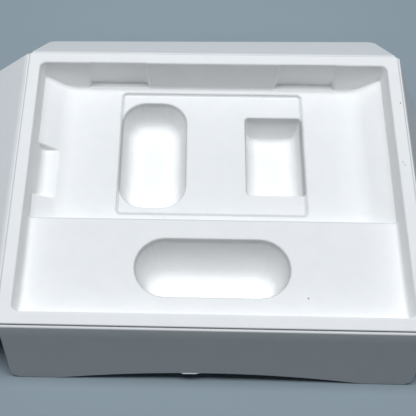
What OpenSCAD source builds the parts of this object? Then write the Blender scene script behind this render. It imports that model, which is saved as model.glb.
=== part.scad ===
// Moulded pulp packaging insert: one thin pressed shell with a flat rim, a shelf, a deeper
// basin, three pockets and four flaps that hang from a narrow strip round the rim.
// The middle of the rim's top face is the middle of the layout, X to the right, Y to the back.

/* [Rim] */
// Width of the flat rim, over its outer edge
rim_w = 300; // [280:1:340]
// Depth of the flat rim, over its outer edge
rim_d = 230; // [222:1:260]
// Width of the flat band between the rim's outer edge and the basin
rim_land = 9.8; // [8:0.1:14]
// Corner radius of the rim's outer edge
rim_corner = 3; // [2:0.5:6]
// Height of the small step from the rim down to the hinge strip
step_drop = 1; // [0.6:0.1:1.2]
// Width of the hinge strip that the flaps hang from
strip_w = 2; // [1.5:0.1:3]
// Corner radius of the hinge strip's outer edge
strip_corner = 1.5; // [1:0.5:3]
// Thickness of the pulp
wall = 1.2; // [1:0.1:2]

/* [Basin] */
// Corner radius at the mouth of the basin
basin_corner = 4.5; // [4:0.5:8]
// Slope of the basin's side walls away from upright
basin_draft = 8; // [5:0.5:10]
// Round between the basin's walls and its floors
basin_foot = 3; // [2:0.5:5]
// Round at the edge where the rim turns down into the basin
basin_lip = 1.5; // [1:0.1:2.5]
// Depth of the front shelf below the rim
shelf_depth = 14.5; // [12:0.5:17]
// Distance from the rim's front edge to the edge of the shelf
shelf_len = 88; // [84:1:92]
// Depth of the main floor below the rim
floor_depth = 29; // [26:0.5:32]
// Depth of the side ramps where they meet the side walls
ramp_top = 16; // [15:0.5:18]
// Slope of the side ramps
ramp_angle = 34; // [30:1:40]
// Round where a ramp runs out into the main floor
ramp_round = 22; // [10:1:28]

/* [Back wall recesses] */
// Distance from the middle of the tray to the near end of each recess
recess_start = 52; // [45:0.5:56]
// Width of each recess
recess_w = 50.5; // [44:0.5:56]
// Length of the slanted end of each recess
recess_slant = 2.5; // [1.5:0.1:4]
// How far each recess goes behind the edge of the rim's opening
recess_back = 0.5; // [0.3:0.1:1]

/* [Notch] */
// Length of the notch in the left ramp
notch_len = 50; // [40:0.5:54]
// Distance from the notch's front end to the edge of the shelf
notch_gap = 18.5; // [14:0.5:24]
// Depth of the notch's floor below the rim
notch_depth = 26.5; // [24:0.5:26.5]
// Round along the side wall's foot in the notch
notch_foot = 5; // [3:0.5:7]
// Round along the foot of the notch's two ends
notch_end_foot = 1; // [0.5:0.1:2]

/* [Panel] */
// Width of the shallow panel in the main floor
panel_w = 147; // [144:1:156]
// Length of the shallow panel, front to back
panel_len = 110; // [108:1:112]
// Distance from the edge of the shelf to the panel
panel_gap = 11.5; // [10:0.5:12]
// Depth of the panel below the main floor
panel_drop = 1; // [0.6:0.1:1.4]
// Corner radius of the panel
panel_corner = 2; // [1.5:0.5:4]

/* [Left pocket] */
// Width of the left pocket
left_w = 53; // [46:1:58]
// Length of the left pocket
left_len = 96; // [86:1:100]
// Distance from the panel's front edge to the left pocket
left_gap = 5.5; // [4:0.5:8]
// Corner radius of the left pocket
left_corner = 20; // [16:1:22]
// Slope of the left pocket's walls
left_draft = 12; // [8:0.5:14]
// Round along the foot of the left pocket
left_foot = 9; // [5:0.5:9]

/* [Right pocket] */
// Width of the right pocket
right_w = 46; // [40:1:50]
// Length of the right pocket
right_len = 71; // [64:1:76]
// Distance from the panel's front edge to the right pocket
right_gap = 17.5; // [12:0.5:20]
// Corner radius of the right pocket
right_corner = 3; // [2:0.5:5]
// Slope of the right pocket's walls
right_draft = 7; // [5:0.5:9]
// Round along the long sides of the right pocket's floor
right_foot = 10; // [7:0.5:12]
// Round along the short ends of the right pocket's floor
right_end_foot = 2; // [1.5:0.5:4]

/* [Front pocket] */
// Length of the front pocket with its round ends
front_len = 114; // [100:1:124]
// Width of the front pocket, which sets its round ends
front_w = 45; // [38:1:48]
// Distance from the rim's front edge to the front pocket
front_gap = 27; // [24:0.5:30]
// Slope of the front pocket's walls
front_draft = 11; // [8:0.5:12]
// Round along the foot of the front pocket
front_foot = 9; // [5:0.5:9]
// Round at the upper edge of the three pockets
pocket_lip = 1.2; // [0.8:0.1:2]

/* [Flaps] */
// Length of each flap down its slope
flap_len = 60; // [56:1:64]
// Lean of the front flap away from upright, which also sets the height of the tray
front_lean = 19.7; // [15:0.1:24]
// Lean of the right flap
right_lean = 23.5; // [21:0.5:30]
// Lean of the back flap, half way along it
back_lean = 47; // [40:0.5:52]
// How much more the back flap leans at its right end than at its left end
back_twist = 2.4; // [0:0.1:5]
// Lean of the left flap
left_lean = 57; // [50:0.5:62]
// How far the front and back flaps stop short of the strip's corner rounds
long_flap_gap = 2; // [0.5:0.5:5]
// How much the front flap's sides draw in towards its foot
front_flap_taper = 2; // [1:0.5:6]
// How much the back flap's sides draw in towards its foot
back_flap_taper = 5.5; // [1:0.5:8]
// How far the side flaps stop short of the strip's corner rounds
side_flap_gap = 0.5; // [0.5:0.5:5]
// How much the side flaps' sides draw in towards their foot
side_flap_taper = 11; // [4:0.5:14]
// Corner radius at the foot of the flaps
flap_corner = 7; // [4:0.5:10]
// Height of the arch in the middle of the front flap's foot
arch_h = 9; // [4:0.5:12]
// Width of the arch in the front flap's foot
arch_w = 220; // [160:2:240]

/* [Hidden] */

// Steps of each quarter round, and of each round at a lip and a foot
corner_n = 6;
lip_n = 2;
foot_n = 4;
arch_n = 16;
twist_n = 8;
// Height that a cut reaches above the face it opens in
over = 1;

strip_x = rim_w / 2 + strip_w;
strip_y = rim_d / 2 + strip_w;
hinge_drop = step_drop + wall / 3;
tray_h = hinge_drop + flap_len * cos(front_lean) + wall * sin(front_lean);
long_half = strip_x - strip_corner - long_flap_gap;
side_half = strip_y - strip_corner - side_flap_gap;
back_foot_share = (long_half - back_flap_taper - flap_corner) / (long_half - back_flap_taper);
basin_w = rim_w - 2 * rim_land;
basin_len = rim_d - 2 * rim_land;
shelf_y = shelf_len - rim_d / 2;
panel_y = shelf_y + panel_gap;
panel_depth = floor_depth + panel_drop;
pocket_floor = tray_h - wall;
reach_left = strip_x + flap_len * sin(left_lean);
reach_right = strip_x + flap_len * sin(right_lean);
reach_front = strip_y + flap_len * sin(front_lean);
reach_back = strip_y + flap_len * sin(back_lean + back_twist / 2 * back_foot_share);

// Depth at which the lip's round, or the upright part of a wall, comes to its end
function lip_end(lip, draft) = lip * (1 - sin(draft));
function foot_start(depth, draft, foot) = depth - foot + foot * sin(draft);

// How far a wall stands inside its mouth line at a given depth
function inset_at(d, depth, draft, lip, foot) =
    d < lip_end(lip, draft)
        ? sqrt(lip * lip - (lip - d) * (lip - d)) - lip * (1 - sin(draft)) / cos(draft)
        : d <= foot_start(depth, draft, foot)
            ? d * tan(draft)
            : foot_start(depth, draft, foot) * tan(draft) + foot * cos(draft)
                - sqrt(max(0, foot * foot - pow(d - depth + foot, 2)));

// Depths at which a bowl has a ring: down its lip, then down the round at its foot
function levels(depth, draft, lip, foot) = concat(
    lip > 0 ? [for (i = [0:lip_n - 1]) lip * (1 - sin(90 - i * (90 - draft) / lip_n))] : [0],
    [for (i = [0:foot_n]) depth - foot + foot * sin(draft + i * (90 - draft) / foot_n)]);

// Points of one rounded rectangle
function ring(half_x, half_y, r, z) = [
    for (q = [0:3])
        for (i = [0:corner_n])
            let (a = 90 * (q + i / corner_n))
            let (sx = (q == 0 || q == 3) ? 1 : -1)
            let (sy = q < 2 ? 1 : -1)
            [sx * (half_x - r) + r * cos(a), sy * (half_y - r) + r * sin(a), z]];

// A pressed hollow as a solid: a rounded rectangle that draws in down its depth. grow makes it
// larger all round by the thickness of the pulp, for the underside of the same wall.
module bowl(w, len, corner, depth, draft, lip, foot, end_foot, grow) {
    deep = depth + grow;
    side = grow > 0 ? 0 : lip;
    n = 4 * (corner_n + 1);
    downs = levels(deep, draft, side, foot + grow);
    rings = [for (d = downs)
        let (in_x = inset_at(d, deep, draft, side, foot + grow))
        let (in_y = inset_at(d, deep, draft, side, end_foot + grow))
        let (half_x = w / 2 + grow - in_x)
        let (half_y = len / 2 + grow - in_y)
        ring(half_x, half_y, max(corner / 4, corner + grow - max(in_x, in_y)), -d)];
    top = grow > 0 ? [] : [[for (p = rings[0]) [p.x, p.y, over]]];
    all = concat(top, rings);
    last = len(all) - 1;
    polyhedron(
        points = [for (r = all) for (p = r) p],
        faces = concat(
            [[for (i = [0:n - 1]) n - 1 - i]],
            [for (k = [0:last - 1]) for (i = [0:n - 1])
                [k * n + i, k * n + (i + 1) % n, (k + 1) * n + (i + 1) % n, (k + 1) * n + i]],
            [[for (i = [0:n - 1]) last * n + i]]),
        convexity = 4);
}

// The shelf's level, over the whole mouth of the basin
module shelf_form(grow) {
    bowl(basin_w, basin_len, basin_corner, shelf_depth, basin_draft,
        basin_lip, basin_foot, basin_foot, grow);
}

// Outline of the deep part, seen from the front: flat floor, round, ramp up to each side wall
module deep_outline(grow) {
    foot_x = basin_w / 2 - ramp_top * tan(basin_draft);
    run = (floor_depth - ramp_top) / tan(ramp_angle);
    r = ramp_round - grow;
    flat_x = foot_x - run - ramp_round * tan(ramp_angle / 2);
    steps = 6;
    slope = [for (i = [0:steps])
        let (a = i * ramp_angle / steps)
        [flat_x + r * sin(a), -floor_depth + ramp_round - r * cos(a) - 2 * grow * cos(a)]];
    end_x = basin_w / 2 + 2 * wall;
    last = slope[steps];
    end_y = last.y + (end_x - last.x) * tan(ramp_angle);
    half = concat(slope, [[end_x, end_y], [end_x, over]]);
    polygon(concat(half, [for (i = [len(half) - 1:-1:0]) [-half[i].x, half[i].y]]));
}

// The deep part behind the shelf, with its two side ramps
module deep_form(grow) {
    step_y = shelf_y - grow;
    intersection() {
        bowl(basin_w, basin_len, basin_corner, floor_depth, basin_draft,
            basin_lip, basin_foot, basin_foot, grow);
        translate([0, rim_d / 2, 0])
            rotate([90, 0, 0])
                linear_extrude(height = rim_d / 2 - step_y + floor_depth)
                    deep_outline(grow);
        translate([-rim_w / 2, step_y, -shelf_depth])
            rotate([basin_draft, 0, 0])
                translate([0, 0, -tray_h])
                    cube([rim_w, rim_d, 2 * tray_h]);
    }
}

// The two recesses that leave the back wall nearly upright
module recess_form(grow) {
    foot_y = basin_len / 2 - floor_depth * tan(basin_draft);
    back_y = basin_len / 2 + recess_back + grow;
    for (side = [0, 1])
        mirror([side, 0, 0])
            translate([0, 0, -floor_depth - grow])
                linear_extrude(height = floor_depth + grow + (grow > 0 ? 0 : over))
                    polygon([
                        [recess_start - grow, foot_y],
                        [recess_start + recess_slant - grow, back_y],
                        [recess_start + recess_w - recess_slant + grow, back_y],
                        [recess_start + recess_w + grow, foot_y]]);
}

// The notch in the left ramp, which reaches the side wall
module notch_form(grow) {
    wall_x = basin_w / 2;
    run = (floor_depth - ramp_top) / tan(ramp_angle) + ramp_round;
    mid_y = shelf_y + notch_gap + notch_len / 2;
    intersection() {
        translate([run - wall_x, mid_y, 0])
            bowl(2 * run, notch_len, basin_corner / 2, notch_depth, basin_draft,
                0, notch_foot, notch_end_foot, grow);
        translate([-rim_w / 2, -rim_d / 2, -tray_h])
            cube([rim_w / 2, rim_d, tray_h - ramp_top + wall]);
    }
}

module panel_form(grow) {
    translate([0, panel_y + panel_len / 2, -floor_depth])
        bowl(panel_w, panel_len, panel_corner, panel_drop, 0, 0, 0, 0, grow);
}

module left_pocket_form(grow) {
    translate([(left_w - panel_w) / 2, panel_y + left_gap + left_len / 2, -panel_depth])
        bowl(left_w, left_len, left_corner, pocket_floor - panel_depth, left_draft,
            pocket_lip, left_foot, left_foot, grow);
}

module right_pocket_form(grow) {
    translate([(panel_w - right_w) / 2, panel_y + right_gap + right_len / 2, -panel_depth])
        bowl(right_w, right_len, right_corner, pocket_floor - panel_depth, right_draft,
            pocket_lip, right_foot, right_end_foot, grow);
}

module front_pocket_form(grow) {
    translate([0, front_gap + front_w / 2 - rim_d / 2, -shelf_depth])
        bowl(front_len, front_w, front_w / 2, pocket_floor - shelf_depth, front_draft,
            pocket_lip, front_foot, front_foot, grow);
}

// Every hollow of the tray: as cut from above, or grown by the wall for the underside
module tray_form(grow) {
    shelf_form(grow);
    deep_form(grow);
    recess_form(grow);
    notch_form(grow);
    panel_form(grow);
    left_pocket_form(grow);
    right_pocket_form(grow);
    front_pocket_form(grow);
}

module round_plate(w, len, r, thick) {
    linear_extrude(height = thick)
        polygon([for (p = ring(w / 2, len / 2, r, 0)) [p.x, p.y]]);
}

// The flat rim, and the hinge strip one small step below its outer edge
module rim() {
    translate([0, 0, -wall])
        round_plate(rim_w, rim_d, rim_corner, wall);
    translate([0, 0, -step_drop - wall])
        difference() {
            union() {
                round_plate(2 * strip_x, 2 * strip_y, strip_corner, wall);
                round_plate(rim_w, rim_d, rim_corner, step_drop + wall);
            }
            translate([0, 0, -over])
                round_plate(rim_w - 2 * wall, rim_d - 2 * wall, rim_corner, step_drop + over);
        }
}

// Points along a flap's foot, as [share of its half width there, distance down the slope]
function flap_foot(foot_half, arch, arch_half) =
    let (arch_r = arch > 0 ? (arch_half * arch_half + arch * arch) / (2 * arch) : 1)
    let (arch_a = arch > 0 ? asin(arch_half / arch_r) : 0)
    let (corner = [for (i = [0:corner_n])
        let (a = 90 * i / corner_n)
        [1 - flap_corner * (1 - cos(a)) / foot_half,
            flap_len - flap_corner + flap_corner * sin(a)]])
    let (middle = arch > 0
        ? [for (i = [0:arch_n])
            let (a = arch_a * (2 * i / arch_n - 1))
            [arch_r * sin(a) / foot_half, flap_len - arch + arch_r - arch_r * cos(a)]]
        : [for (i = [1:twist_n - 1])
            [(1 - flap_corner / foot_half) * (2 * i / twist_n - 1), flap_len]])
    concat(
        [for (p = corner) [-p.x, p.y]],
        middle,
        [for (i = [corner_n:-1:0]) corner[i]]);

// A point of a flap: u along the hinge, t down its slope, deep into its thickness
function flap_point(u, t, deep, lean, reach) = [
    u,
    -reach - t * sin(lean) + deep * cos(lean),
    -hinge_drop - t * cos(lean) - deep * sin(lean)];

// One flap, turned to its side of the strip: upright strips of its sheet side by side, each
// leaned out about the hinge, by more at one end than at the other where the flap is twisted
module flap(turn, reach, lean, twist, top_half, taper, arch, arch_half) {
    foot = flap_foot(top_half - taper, arch, arch_half);
    n = len(foot);
    points = [for (p = foot)
        let (u = p.x * (top_half - taper * p.y / flap_len))
        let (a = lean + twist / 2 * p.x)
        each [
            flap_point(p.x * top_half, 0, 0, a, reach),
            flap_point(u, p.y, 0, a, reach),
            flap_point(u, p.y, wall, a, reach),
            flap_point(p.x * top_half, 0, wall, a, reach)]];
    rotate([0, 0, turn])
        polyhedron(
            points = points,
            faces = concat(
                [[0, 1, 2, 3]],
                [for (k = [0:n - 2]) for (j = [0:3])
                    let (j1 = (j + 1) % 4)
                    let (here = [4 * k + j, 4 * k + j1])
                    let (next = [4 * k + 4 + j, 4 * k + 4 + j1])
                    each j < 2
                        ? [[here[0], next[0], next[1]], [here[0], next[1], here[1]]]
                        : [[here[0], next[0], here[1]], [next[0], next[1], here[1]]]],
                [[4 * n - 1, 4 * n - 2, 4 * n - 3, 4 * n - 4]]),
            convexity = 4);
}

module flaps() {
    flap(0, strip_y, front_lean, 0, long_half, front_flap_taper, arch_h, arch_w / 2);
    flap(90, strip_x, right_lean, 0, side_half, side_flap_taper, 0, 0);
    flap(180, strip_y, back_lean, -back_twist, long_half, back_flap_taper, 0, 0);
    flap(270, strip_x, left_lean, 0, side_half, side_flap_taper, 0, 0);
}

// The whole insert, stood on the table, with the middle of its extent over the origin
module pulp_insert() {
    color("whitesmoke")
        translate([(reach_left - reach_right) / 2, (reach_front - reach_back) / 2, tray_h])
            difference() {
                union() {
                    rim();
                    tray_form(wall);
                    flaps();
                }
                tray_form(0);
            }
}

pulp_insert();
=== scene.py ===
from math import cos, pi, radians, sin

import bmesh
import bpy
from mathutils import Matrix, Vector


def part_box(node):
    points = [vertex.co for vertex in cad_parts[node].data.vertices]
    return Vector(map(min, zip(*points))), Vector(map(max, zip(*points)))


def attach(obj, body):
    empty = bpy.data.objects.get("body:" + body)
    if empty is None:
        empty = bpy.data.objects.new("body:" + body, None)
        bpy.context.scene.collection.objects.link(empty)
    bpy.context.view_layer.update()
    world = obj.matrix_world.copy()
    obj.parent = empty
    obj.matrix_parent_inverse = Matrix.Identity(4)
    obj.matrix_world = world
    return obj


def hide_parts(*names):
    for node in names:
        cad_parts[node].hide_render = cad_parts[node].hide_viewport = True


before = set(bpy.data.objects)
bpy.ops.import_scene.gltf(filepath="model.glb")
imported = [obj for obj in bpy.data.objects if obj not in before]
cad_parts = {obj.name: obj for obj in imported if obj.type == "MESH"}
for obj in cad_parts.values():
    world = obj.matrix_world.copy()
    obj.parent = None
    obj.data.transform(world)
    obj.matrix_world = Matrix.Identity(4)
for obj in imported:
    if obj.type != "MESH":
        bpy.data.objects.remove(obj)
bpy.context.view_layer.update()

# Sizes of the insert, in metres. The middle of the rim lies beside the middle of the whole
# outline, because the four flaps lean out by different amounts.
PULP = 0.0012
INSERT_LOW, INSERT_HIGH = (Vector(corner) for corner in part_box("pulp_insert"))
RIM_MIDDLE = Vector((0.0131976, -0.0122309, INSERT_HIGH.z))
RIM_HALF = Vector((0.150, 0.115))
RIM_CORNER = 0.003
STRIP_HALF = Vector((0.152, 0.117))
STRIP_FLAT = 0.0008
STEP_DROP = 0.0016
HINGE_DROP = 0.0020
EDGE_ROUND = 0.0004
FOOT_ROUND = 0.0002
PULP_EDGE_ROUND = 0.00035
PANEL_HALF = Vector((0.0735, 0.055))
PANEL_MIDDLE = 0.0395
PANEL_CORNER = 0.003
PANEL_LINE = 0.0012
PANEL_LINE_DEPTH = 0.0299

# The outer ring of the rim is made apart from the pressed sheet with the hollows: how wide
# the ring is, how far in from the rim's edge the sheet ends, and how much is cut off round it
BAND_WIDTH = 0.004
SHEET_EDGE = 0.005
CUT_MARGIN = 0.002

# How finely the sheet is shaped, and what share of its faces is kept afterwards
SHEET_GRAIN = 0.00055
SHEET_SHARE = 0.06
SMALLEST_EDGE = 0.00005
SMALLEST_RIM_EDGE = 0.0003
CLOSE = 1e-5
SAME_POINT = 1e-6

# Each flap: the way it faces, half its width at the hinge, how much its sides draw in, its
# lean away from upright in degrees and how much more it leans at one end, and its arch
FLAPS = [
    {"side": (0, -1), "half": 0.1485, "taper": 0.002, "lean": 19.7, "twist": 0.0, "arch": 0.009},
    {"side": (1, 0), "half": 0.115, "taper": 0.011, "lean": 23.5, "twist": 0.0, "arch": 0.0},
    {"side": (0, 1), "half": 0.1485, "taper": 0.0055, "lean": 47.0, "twist": -2.4, "arch": 0.0},
    {"side": (-1, 0), "half": 0.115, "taper": 0.011, "lean": 57.0, "twist": 0.0, "arch": 0.0},
]
FLAP_LENGTH = 0.0592
FLAP_CORNER = 0.007
ARCH_HALF = 0.110
FOLD = 0.0016
FOLD_TURNS = 4
FLAP_ROWS = 6
ARCHED_CUTS = 39
PLAIN_CUTS = 15
CORNER_TURNS = 6

# The small place on the front flap's foot where the pulp's edge is turned outwards
BENT_MIDDLE = -0.0167
BENT_REACH = 0.010
BENT_OUT = 0.0006
BENT_NARROWS = 0.6


def rim_point(x, y, drop=0.0):
    """A place counted from the middle of the rim, down from its top face."""
    return Vector((RIM_MIDDLE.x + x, RIM_MIDDLE.y + y, RIM_MIDDLE.z - drop))


# The pulp's colours: the darker and the lighter patches, the shade between fibres, the painted
# shade in creases, the dirt of the specks, and the painted shade of the flaps with the share that
# shows
DARK_PATCH = (0.968, 0.964, 0.955)
LIGHT_PATCH = (0.988, 0.983, 0.972)
BETWEEN_FIBRES = (0.90, 0.90, 0.90)
FIBRE = (1, 1, 1)
FIBRE_SHARE = 0.35
# Painted shade: the darker colour laid along the creases, in place of the shade that falls there
CREASE_SHADE = (0.50, 0.51, 0.52)
DIRT = (0.28, 0.26, 0.25)
# Painted shade: the flaps are painted greyer because they get less light than the rim
FLAP_SHADE = (0.55, 0.59, 0.62)
FLAP_SHADE_SHARE = 0.34
FLAP_STARTS = 0.0025
FLAP_FULL = 0.0055

# Painted shade along the creases, where shade falls: the panel's pressed line, the foot of the
# step round the rim, the lips of the left, right and front pockets, and the edge of the shelf.
# Each has its middle, half size, corner, how far the shade reaches and how strong it is
SHADED_CREASES = [
    (rim_point(0, PANEL_MIDDLE), PANEL_HALF, PANEL_CORNER, 0.0012, 0.55),
    (rim_point(0, 0), RIM_HALF, RIM_CORNER, 0.0011, 0.5),
    (rim_point(-0.047, 0.038), Vector((0.0265, 0.048)), 0.020, 0.0010, 0.32),
    (rim_point(0.0505, 0.0375), Vector((0.023, 0.0355)), 0.003, 0.0010, 0.2),
    (rim_point(0, -0.0655), Vector((0.057, 0.0225)), 0.0225, 0.0011, 0.35),
    (rim_point(0, -0.027), Vector((0.137, 0.0002)), 0.0, 0.0012, 0.45),
]
CREASE_CORE = 0.35

# Specks of dirt: where each lies, how large it is and how strong
SPECKS = [
    ((0.1607, 0.0579, 0.0583), 0.0008, 0.9),
    ((0.1568, 0.0047, 0.0583), 0.0012, 0.25),
    ((0.1580, 0.0022, 0.0583), 0.0012, 0.25),
    ((0.0818, -0.0999, 0.0438), 0.0008, 0.95),
    ((0.0811, -0.0170, 0.0283), 0.0009, 0.13),
]
SPECK_CORE = 0.5

# How fine the patches, fibres, dull places, press marks and grain are, and how deep the last two
PATCH_SCALE = 70
FIBRE_SCALE = 1400
DULL_SCALE = 220
PRESS_SCALE = 160
PRESS_DEPTH = 0.0004
GRAIN_SCALE = 1900
GRAIN_DEPTH = 0.00008
DULLEST = 0.86
LEAST_DULL = 0.68

# Where a colour mixer has its share, its two colours and its result
MIX_SHARE, MIX_FIRST, MIX_SECOND, MIX_RESULT = 0, 6, 7, 2

# The camera: how it is turned, in radians, where it stands, and its lens and shift
CAMERA_YAW = -0.0475472
CAMERA_PITCH = 1.0879158
CAMERA_ROLL = -0.0266249
CAMERA_PLACE = Vector((-0.0055541, -0.2929664, 0.5908254))
CAMERA_LENS = 69.36
CAMERA_SHIFT = (0.0907692, -0.06625)

# The light and the floor
LAMP_PLACE = Vector((-0.02, 0.30, 1.7))
LAMP_SIZE = (1.5, 0.7)
LAMP_ENERGY = 22.5
LAMP_COLOUR = (0.92, 0.958, 1.0)
SKY_COLOUR = (0.86, 0.93, 1.0, 1)
SKY_STRENGTH = 0.06
FLOOR_SIZE = 4
FLOOR_COLOUR = (0.34, 0.405, 0.445, 1)


def pick(piece):
    """Selects one piece and nothing else, in object mode."""
    if bpy.context.object and bpy.context.object.mode != "OBJECT":
        bpy.ops.object.mode_set(mode="OBJECT")
    bpy.ops.object.select_all(action="DESELECT")
    piece.select_set(True)
    bpy.context.view_layer.objects.active = piece


def edit(piece, select="SELECT", kind="VERT"):
    """Opens a piece in edit mode with all or nothing of it selected."""
    pick(piece)
    bpy.ops.object.mode_set(mode="EDIT")
    bpy.ops.mesh.select_mode(type=kind)
    bpy.ops.mesh.select_all(action=select)


def settle(piece):
    """Puts a piece's place, turn and scale into its mesh."""
    pick(piece)
    bpy.ops.object.transform_apply(location=True, rotation=True, scale=True)


def join(piece, other):
    """Makes another piece part of a piece."""
    pick(piece)
    other.select_set(True)
    bpy.ops.object.join()


def finish_with(piece, kind, **settings):
    """Adds one modifier to a piece and applies it."""
    pick(piece)
    modifier = piece.modifiers.new(kind.title(), kind)
    for name, value in settings.items():
        setattr(modifier, name, value)
    bpy.ops.object.modifier_apply(modifier=modifier.name)


def trim(piece, place, facing):
    """Cuts a mesh along a plane and drops what lies on the side that the plane faces."""
    edit(piece)
    bpy.ops.mesh.bisect(plane_co=place, plane_no=facing, clear_outer=True)
    pick(piece)


def wire_loop(middle, half, corner=0.0):
    """A closed level wire, made from a plane with its corners rounded and its face taken away."""
    bpy.ops.object.select_all(action="DESELECT")
    bpy.ops.mesh.primitive_plane_add(size=1, location=middle)
    wire = bpy.context.object
    wire.scale = (2 * half.x, 2 * half.y, 1)
    settle(wire)
    edit(wire)
    if corner:
        bpy.ops.mesh.bevel(offset=corner, segments=CORNER_TURNS, affect="VERTICES")
        bpy.ops.mesh.select_all(action="SELECT")
    bpy.ops.mesh.delete(type="ONLY_FACE")
    pick(wire)
    return wire


def select_open_edges(piece, test=None):
    """Selects the edges that bound only one face, or none, where a test of their ends holds."""
    edit(piece, "DESELECT", "EDGE")
    mesh = bmesh.from_edit_mesh(piece.data)
    for line in mesh.edges:
        if len(line.link_faces) < 2 and (test is None or all(test(end.co) for end in line.verts)):
            line.select_set(True)
    bmesh.update_edit_mesh(piece.data)


def in_band_hole(place, slack=0.0):
    """Whether a place lies inside the inner edge of the rim's outer ring, seen from above."""
    off = place - RIM_MIDDLE
    return (abs(off.x) < RIM_HALF.x - BAND_WIDTH + slack
            and abs(off.y) < RIM_HALF.y - BAND_WIDTH + slack)


def panel_line():
    """The pressed line round the shallow panel: a round cord that sinks into the floor."""
    wire_loop(rim_point(0, PANEL_MIDDLE, PANEL_LINE_DEPTH), PANEL_HALF, PANEL_CORNER)
    bpy.ops.object.convert(target="CURVE")
    cord = bpy.context.object
    cord.data.bevel_depth = PANEL_LINE
    cord.data.bevel_resolution = 3
    bpy.ops.object.convert(target="MESH")
    return bpy.context.object


def air_over_tray():
    """The air over the tray: a block round the pulp is cut by the pulp into an upper and a
    lower part, and the upper one is kept."""
    pick(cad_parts["pulp_insert"])
    bpy.ops.object.duplicate()
    shell = bpy.context.object
    edit(shell)
    bpy.ops.mesh.remove_doubles(threshold=SAME_POINT)
    pick(shell)
    bpy.ops.object.select_all(action="DESELECT")
    bpy.ops.mesh.primitive_cube_add(
        size=1,
        location=rim_point(0, 0, 0.5 * INSERT_HIGH.z),
        scale=(2 * (RIM_HALF.x - CUT_MARGIN), 2 * (RIM_HALF.y - CUT_MARGIN), 2 * INSERT_HIGH.z))
    block = bpy.context.object
    settle(block)
    finish_with(block, "BOOLEAN", operation="DIFFERENCE", object=shell, solver="EXACT")
    bpy.data.objects.remove(shell)
    edit(block)
    bpy.ops.mesh.separate(type="LOOSE")
    bpy.ops.object.mode_set(mode="OBJECT")
    parts = list(bpy.context.selected_objects)
    parts.sort(key=lambda part: max((corner.co.z for corner in part.data.vertices), default=0))
    air = parts.pop()
    for part in parts:
        bpy.data.objects.remove(part)
    return air


def pressed_basin():
    """The upper face of the rim and of all the hollows, which is the underside of the air over
    the tray, turned to face up and softened as pressed pulp is."""
    sheet = air_over_tray()
    sheet.name = "pulp_sheet"
    join(sheet, panel_line())
    finish_with(sheet, "REMESH", mode="VOXEL", voxel_size=SHEET_GRAIN, adaptivity=0)
    finish_with(sheet, "SMOOTH", factor=0.5, iterations=2)
    edit(sheet)
    bpy.ops.mesh.flip_normals()
    finish_with(sheet, "DECIMATE", ratio=SHEET_SHARE)
    trim(sheet, rim_point(0, 0, -CUT_MARGIN), (0, 0, 1))
    for way in (1, -1):
        trim(sheet, rim_point(way * (RIM_HALF.x - SHEET_EDGE), 0), (way, 0, 0))
    for way in (1, -1):
        trim(sheet, rim_point(0, way * (RIM_HALF.y - SHEET_EDGE)), (0, way, 0))
    edit(sheet)
    bpy.ops.mesh.dissolve_degenerate(threshold=SMALLEST_EDGE)
    select_open_edges(sheet)
    bpy.ops.mesh.remove_doubles(threshold=SMALLEST_RIM_EDGE)
    finish_with(sheet, "SOLIDIFY", thickness=PULP, offset=-1, use_rim=False)
    return sheet


def rim_ring():
    """The outer part of the flat rim, as a ring between two wires."""
    inner = RIM_HALF - Vector((BAND_WIDTH, BAND_WIDTH))
    outer = RIM_HALF - Vector((EDGE_ROUND, EDGE_ROUND))
    band = wire_loop(rim_point(0, 0), inner)
    join(band, wire_loop(rim_point(0, 0), outer, RIM_CORNER - EDGE_ROUND))
    band.name = "pulp_band"
    select_open_edges(band)
    bpy.ops.mesh.bridge_edge_loops()
    bpy.ops.mesh.select_all(action="SELECT")
    bpy.ops.mesh.normals_make_consistent(inside=False)
    mesh = bmesh.from_edit_mesh(band.data)
    if sum(face.normal.z for face in mesh.faces) < 0:
        bpy.ops.mesh.flip_normals()
    return band


def step_profile():
    """How far out from the rim's edge, and how far down, each row of the step and strip is."""
    rows = [(EDGE_ROUND * (sin(radians(a)) - 1), EDGE_ROUND * (1 - cos(radians(a))))
            for a in (30, 60, 90)]
    rows += [(FOOT_ROUND * (1 - cos(radians(a))), STEP_DROP - FOOT_ROUND * (1 - sin(radians(a))))
             for a in (0, 30, 60, 90)]
    return rows + [(STRIP_FLAT, STEP_DROP)]


def add_step_and_strip(band):
    """The round at the rim's edge, the small step down, and the flat strip outside it."""
    select_open_edges(band, lambda end: not in_band_hole(end, CLOSE))
    out, drop = -EDGE_ROUND, 0.0
    for next_out, next_drop in step_profile():
        bpy.ops.mesh.extrude_edges_move(
            TRANSFORM_OT_translate={"value": (0, 0, drop - next_drop)})
        grow_x = (RIM_HALF.x + next_out) / (RIM_HALF.x + out)
        grow_y = (RIM_HALF.y + next_out) / (RIM_HALF.y + out)
        bpy.ops.transform.resize(value=(grow_x, grow_y, 1), center_override=RIM_MIDDLE)
        out, drop = next_out, next_drop


def flap_ways(flap):
    """The way that a flap faces, and the way along its hinge."""
    side = Vector((*flap["side"], 0))
    return side, Vector((-side.y, side.x, 0))


def strip_edge(side):
    """How far the strip's outer edge lies from the middle of the rim on one side."""
    return abs(side.dot(Vector((*RIM_HALF, 0)))) + STRIP_FLAT


def flap_place(flap, share, down):
    """A point of a flap's outer face: share of its half width, and distance down its slope."""
    side, along = flap_ways(flap)
    lean = radians(flap["lean"] + 0.5 * flap["twist"] * share)
    hinge = abs(side.dot(Vector((*STRIP_HALF, 0))))
    across = share * (flap["half"] - flap["taper"] * down / FLAP_LENGTH)
    if flap["arch"]:
        down -= flap["arch"] * max(0, 1 - (across / ARCH_HALF) ** 2) * down / FLAP_LENGTH
    return (rim_point(0, 0, HINGE_DROP + down * cos(lean))
            + side * (hinge + down * sin(lean)) + along * across)


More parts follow.
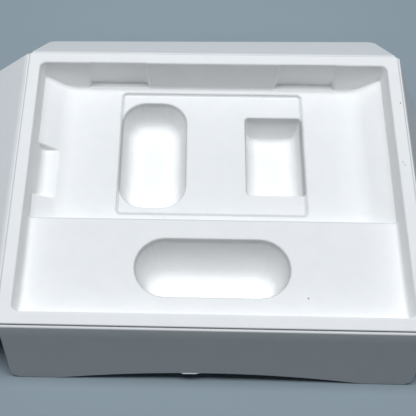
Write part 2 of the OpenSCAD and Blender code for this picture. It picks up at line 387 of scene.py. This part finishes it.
def fold_place(flap, share, half, angle, turn, fold_down):
    """A point of the fold between the strip and a flap, at one angle of the turn."""
    side, along = flap_ways(flap)
    start = rim_point(0, 0, STEP_DROP) + side * strip_edge(side) + along * (share * half)
    end = flap_place(flap, share, fold_down)
    back = FOLD * sin(turn) - FOLD * sin(angle)
    up = FOLD * (1 - cos(turn)) - FOLD * (1 - cos(angle))
    between = start.lerp(end, sin(angle) / sin(turn))
    return end - side * back + Vector((0, 0, up)) + along * ((between - end).dot(along))


def select_hinge(band, flap):
    """Selects the strip's outer edge on a flap's side."""
    side = flap_ways(flap)[0]
    edge = strip_edge(side)
    middle = rim_point(0, 0, STEP_DROP)
    edit(band, "DESELECT", "EDGE")
    mesh = bmesh.from_edit_mesh(band.data)
    for line in mesh.edges:
        outs = [(end.co - middle).dot(side) for end in line.verts]
        if line.is_boundary and all(abs(out - edge) < CLOSE for out in outs):
            line.select_set(True)
    bmesh.update_edit_mesh(band.data)


def selected_row(mesh, along):
    """The selected corners of a flap, in order along its hinge."""
    return sorted((corner for corner in mesh.verts if corner.select),
                  key=lambda corner: corner.co.dot(along))


def round_foot_corners(band, along):
    """Rounds the two ends of the selected row at a flap's foot."""
    mesh = bmesh.from_edit_mesh(band.data)
    mesh.select_mode = {"VERT"}
    for corner in selected_row(mesh, along)[1:-1]:
        corner.select_set(False)
    bpy.ops.mesh.select_mode(type="VERT")
    bpy.ops.mesh.bevel(offset=FLAP_CORNER, segments=CORNER_TURNS, affect="VERTICES")


def turn_foot_edge_out(band, side, along):
    """Turns one short place of a flap's foot outwards."""
    foot = INSERT_LOW.z + 0.5 * FLAP_LENGTH
    middle = rim_point(0, 0, STEP_DROP)
    select_open_edges(band, lambda end: end.z < foot and abs(
        (end - middle).dot(along) - BENT_MIDDLE) < BENT_REACH)
    bpy.ops.mesh.extrude_edges_move(TRANSFORM_OT_translate={"value": side * BENT_OUT})
    bpy.ops.transform.resize(
        value=(BENT_NARROWS, 1, 1), center_override=rim_point(BENT_MIDDLE, 0, FLAP_LENGTH))


def hang_flap(band, flap):
    """Draws one flap out of the strip's edge: the fold in small turns, then rows down to its
    foot, each put in its place, and last the round corners of the foot."""
    side, along = flap_ways(flap)
    select_hinge(band, flap)
    bpy.ops.mesh.subdivide(number_cuts=ARCHED_CUTS if flap["arch"] else PLAIN_CUTS)
    middle = rim_point(0, 0, STEP_DROP)
    mesh = bmesh.from_edit_mesh(band.data)
    half = max(abs((corner.co - middle).dot(along)) for corner in selected_row(mesh, along))
    lean = radians(flap["lean"])
    turn = pi / 2 - lean
    fold_down = (FOLD * (1 - sin(lean)) - (HINGE_DROP - STEP_DROP)) / cos(lean)
    angles = [turn * step / FOLD_TURNS for step in range(1, FOLD_TURNS)]
    downs = [fold_down + (FLAP_LENGTH - fold_down) * step / FLAP_ROWS
             for step in range(FLAP_ROWS + 1)]
    places = [lambda share, angle=angle: fold_place(flap, share, half, angle, turn, fold_down)
              for angle in angles]
    places += [lambda share, down=down: flap_place(flap, share, down) for down in downs]
    for place_of in places:
        bpy.ops.mesh.extrude_edges_move(TRANSFORM_OT_translate={"value": (0, 0, 0)})
        mesh = bmesh.from_edit_mesh(band.data)
        row = selected_row(mesh, along)
        for count, corner in enumerate(row):
            corner.co = place_of(2 * count / (len(row) - 1) - 1)
        bmesh.update_edit_mesh(band.data)
    round_foot_corners(band, along)
    if flap["arch"]:
        turn_foot_edge_out(band, side, along)


def rim_and_flaps():
    """The rim's outer ring with the step, the strip and the four flaps, as thick as the pulp."""
    band = rim_ring()
    add_step_and_strip(band)
    for flap in FLAPS:
        hang_flap(band, flap)
    finish_with(band, "SOLIDIFY", thickness=PULP, offset=-1, use_even_offset=True)
    edit(band, "DESELECT", "FACE")
    mesh = bmesh.from_edit_mesh(band.data)
    for face in mesh.faces:
        if in_band_hole(face.calc_center_median(), CLOSE):
            face.select_set(True)
    bmesh.update_edit_mesh(band.data)
    bpy.ops.mesh.delete(type="FACE")
    finish_with(band, "BEVEL", width=PULP_EDGE_ROUND, segments=3, limit_method="ANGLE",
                angle_limit=radians(60))
    return band


def close_seam(sheet):
    """Bridges the gap between the sheet and the ring, on the upper and on the lower face."""
    half_way = RIM_MIDDLE.z - PULP / 2
    select_open_edges(sheet, lambda end: end.z > half_way)
    bpy.ops.mesh.bridge_edge_loops()
    select_open_edges(sheet, lambda end: end.z < half_way)
    bpy.ops.mesh.bridge_edge_loops()


def press_level(sheet):
    """Keeps the sheet between the table and the rim's top face."""
    mesh = bmesh.from_edit_mesh(sheet.data)
    for corner in mesh.verts:
        corner.co.z = min(max(corner.co.z, INSERT_LOW.z), INSERT_HIGH.z)
    bmesh.update_edit_mesh(sheet.data)


def add_node(tree, kind, inputs, **settings):
    """Adds a node with its settings, and links or sets its inputs."""
    node = tree.nodes.new(kind)
    for name, value in settings.items():
        setattr(node, name, value)
    for socket, value in inputs.items():
        if isinstance(value, bpy.types.NodeSocket):
            tree.links.new(value, node.inputs[socket])
        else:
            node.inputs[socket].default_value = value
    return node


def noise(tree, place, scale, detail, rough=0.5):
    """Soft random patches: the scale is how many there are in a metre, roughly."""
    inputs = {"Scale": scale, "Detail": detail, "Roughness": rough, "Vector": place}
    return add_node(tree, "ShaderNodeTexNoise", inputs).outputs["Fac"]


def shades(tree, source, low_at, low, high_at, high):
    """Turns a value into a colour between two."""
    ramp = add_node(tree, "ShaderNodeValToRGB", {"Fac": source})
    first, last = ramp.color_ramp.elements
    first.position, first.color = low_at, (*low, 1)
    last.position, last.color = high_at, (*high, 1)
    return ramp.outputs["Color"]


def solid(colour):
    """A plain colour as a mixer takes it; a linked one stays as it is."""
    return (*colour, 1) if isinstance(colour, tuple) else colour


def mix(tree, way, share, first, second):
    """Mixes one colour with another, each plain or linked."""
    inputs = {MIX_SHARE: share, MIX_FIRST: solid(first), MIX_SECOND: solid(second)}
    node = add_node(tree, "ShaderNodeMix", inputs, data_type="RGBA", blend_type=way)
    return node.outputs[MIX_RESULT]


def fade(tree, source, near, far, full):
    """A value that is full where the source is near, and falls to nothing where it is far."""
    inputs = {"Value": source, "From Min": near, "From Max": far, "To Min": full, "To Max": 0}
    return add_node(tree, "ShaderNodeMapRange", inputs).outputs["Result"]


def reckon(tree, way, first, second=None):
    """One step of reckoning with a place: its difference, size or the like."""
    inputs = {0: first} if second is None else {0: first, 1: second}
    node = add_node(tree, "ShaderNodeVectorMath", inputs, operation=way)
    return node.outputs["Value" if way in ("LENGTH", "DISTANCE") else "Vector"]


def gap_to(tree, place, middle, half):
    """How far a place lies outside a rectangle, seen from above."""
    off = reckon(tree, "ABSOLUTE", reckon(tree, "SUBTRACT", place, middle))
    beyond = reckon(tree, "SUBTRACT", off, (*half, 0))
    flat = reckon(tree, "MULTIPLY", beyond, (1, 1, 0))
    return reckon(tree, "LENGTH", reckon(tree, "MAXIMUM", flat, (0, 0, 0)))


def crease(tree, place, middle, half, corner, reach, shade):
    """How strongly painted shade shows in a crease that runs along a rectangle with round
    corners.
    """
    outside = gap_to(tree, place, middle, half - Vector((corner, corner)))
    off = add_node(tree, "ShaderNodeMath", {0: outside, 1: corner}, operation="SUBTRACT")
    apart = add_node(tree, "ShaderNodeMath", {0: off.outputs["Value"]}, operation="ABSOLUTE")
    return fade(tree, apart.outputs["Value"], CREASE_CORE * reach, reach, shade)


def pulp_colour(tree, place):
    """Warm white in soft patches, with fibres, painted shade on the flaps and in creases, and
    specks.
    """
    patches = noise(tree, place, PATCH_SCALE, 3)
    patches = shades(tree, patches, 0.35, DARK_PATCH, 0.65, LIGHT_PATCH)
    fibres = noise(tree, place, FIBRE_SCALE, 4, 0.7)
    fibres = shades(tree, fibres, 0.30, BETWEEN_FIBRES, 0.48, FIBRE)
    colour = mix(tree, "MULTIPLY", FIBRE_SHARE, patches, fibres)
    # Painted shade on the flaps, growing to full a little way out from the rim
    flap_shade = fade(tree, gap_to(tree, place, RIM_MIDDLE, RIM_HALF),
                   FLAP_FULL, FLAP_STARTS, FLAP_SHADE_SHARE)
    colour = mix(tree, "MIX", flap_shade, colour, FLAP_SHADE)
    # Painted shade along the creases
    for middle, half, corner, reach, shade in SHADED_CREASES:
        crease_shade = crease(tree, place, middle, half, corner, reach, shade)
        colour = mix(tree, "MIX", crease_shade, colour, CREASE_SHADE)
    for spot, radius, shade in SPECKS:
        away = reckon(tree, "DISTANCE", place, spot)
        dirty = fade(tree, away, SPECK_CORE * radius, radius, shade)
        colour = mix(tree, "MIX", dirty, colour, DIRT)
    return colour


def pulp_material():
    """Pressed pulp: dull, with a faint unevenness from the press under a fine grain."""
    pulp = bpy.data.materials.new("pulp")
    pulp.use_nodes = True
    tree = pulp.node_tree
    shader = tree.nodes["Principled BSDF"]
    shader.inputs["Specular IOR Level"].default_value = 0.3
    place = tree.nodes.new("ShaderNodeTexCoord").outputs["Object"]
    tree.links.new(pulp_colour(tree, place), shader.inputs["Base Color"])
    dull = add_node(tree, "ShaderNodeMapRange", {
        "Value": noise(tree, place, DULL_SCALE, 2), "To Min": LEAST_DULL, "To Max": DULLEST})
    tree.links.new(dull.outputs["Result"], shader.inputs["Roughness"])
    press = add_node(tree, "ShaderNodeBump", {
        "Height": noise(tree, place, PRESS_SCALE, 2), "Strength": 0.35, "Distance": PRESS_DEPTH})
    grain = add_node(tree, "ShaderNodeBump", {
        "Height": noise(tree, place, GRAIN_SCALE, 5, 0.65), "Strength": 0.3,
        "Distance": GRAIN_DEPTH, "Normal": press.outputs["Normal"]})
    tree.links.new(grain.outputs["Normal"], shader.inputs["Normal"])
    return pulp


def make_insert():
    """The whole insert, as one closed piece of pulp."""
    band = rim_and_flaps()
    sheet = pressed_basin()
    join(sheet, band)
    close_seam(sheet)
    press_level(sheet)
    sheet.data.materials.clear()
    sheet.data.materials.append(pulp_material())
    pick(sheet)
    bpy.ops.object.shade_smooth()
    finish_with(sheet, "WEIGHTED_NORMAL", mode="FACE_AREA", weight=50, keep_sharp=True)
    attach(sheet, "root")
    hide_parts("pulp_insert")


def place_camera(scene):
    """The camera, which looks down at the tray from in front."""
    ahead = Vector((sin(CAMERA_YAW) * cos(CAMERA_PITCH), cos(CAMERA_YAW) * cos(CAMERA_PITCH),
                    -sin(CAMERA_PITCH)))
    right = Vector((cos(CAMERA_YAW), -sin(CAMERA_YAW), 0))
    up = right.cross(ahead)
    across = right * cos(CAMERA_ROLL) + up * sin(CAMERA_ROLL)
    upright = up * cos(CAMERA_ROLL) - right * sin(CAMERA_ROLL)
    eye = bpy.data.cameras.new("camera")
    eye.sensor_width = 36
    eye.lens = CAMERA_LENS
    eye.shift_x, eye.shift_y = CAMERA_SHIFT
    eye.clip_start = 0.01
    eye.clip_end = 10
    camera = bpy.data.objects.new("camera", eye)
    camera.matrix_world = Matrix((
        (across.x, upright.x, -ahead.x, CAMERA_PLACE.x),
        (across.y, upright.y, -ahead.y, CAMERA_PLACE.y),
        (across.z, upright.z, -ahead.z, CAMERA_PLACE.z),
        (0, 0, 0, 1)))
    scene.collection.objects.link(camera)
    scene.camera = camera


def light_studio(scene):
    """One large soft lamp over the tray, a faint cool glow all round, and clear tones."""
    scene.view_settings.view_transform = "Standard"
    scene.view_settings.look = "Medium High Contrast"
    world = bpy.data.worlds.new("studio")
    world.use_nodes = True
    sky = world.node_tree.nodes["Background"].inputs
    sky["Color"].default_value = SKY_COLOUR
    sky["Strength"].default_value = SKY_STRENGTH
    scene.world = world
    lamp = bpy.data.lights.new("softbox", "AREA")
    lamp.shape = "RECTANGLE"
    lamp.size, lamp.size_y = LAMP_SIZE
    lamp.energy = LAMP_ENERGY
    lamp.color = LAMP_COLOUR
    light = bpy.data.objects.new("softbox", lamp)
    light.matrix_world = (-LAMP_PLACE).to_track_quat("-Z", "Y").to_matrix().to_4x4()
    light.matrix_world.translation = LAMP_PLACE
    scene.collection.objects.link(light)


def lay_floor():
    """A plain pale floor under the insert."""
    bpy.ops.mesh.primitive_plane_add(size=FLOOR_SIZE, location=(0, 0, 0))
    floor = bpy.context.object
    floor.name = "floor"
    paint = bpy.data.materials.new("floor")
    paint.use_nodes = True
    coat = paint.node_tree.nodes["Principled BSDF"].inputs
    coat["Base Color"].default_value = FLOOR_COLOUR
    coat["Roughness"].default_value = 0.7
    floor.data.materials.append(paint)


make_insert()
place_camera(bpy.context.scene)
light_studio(bpy.context.scene)
lay_floor()
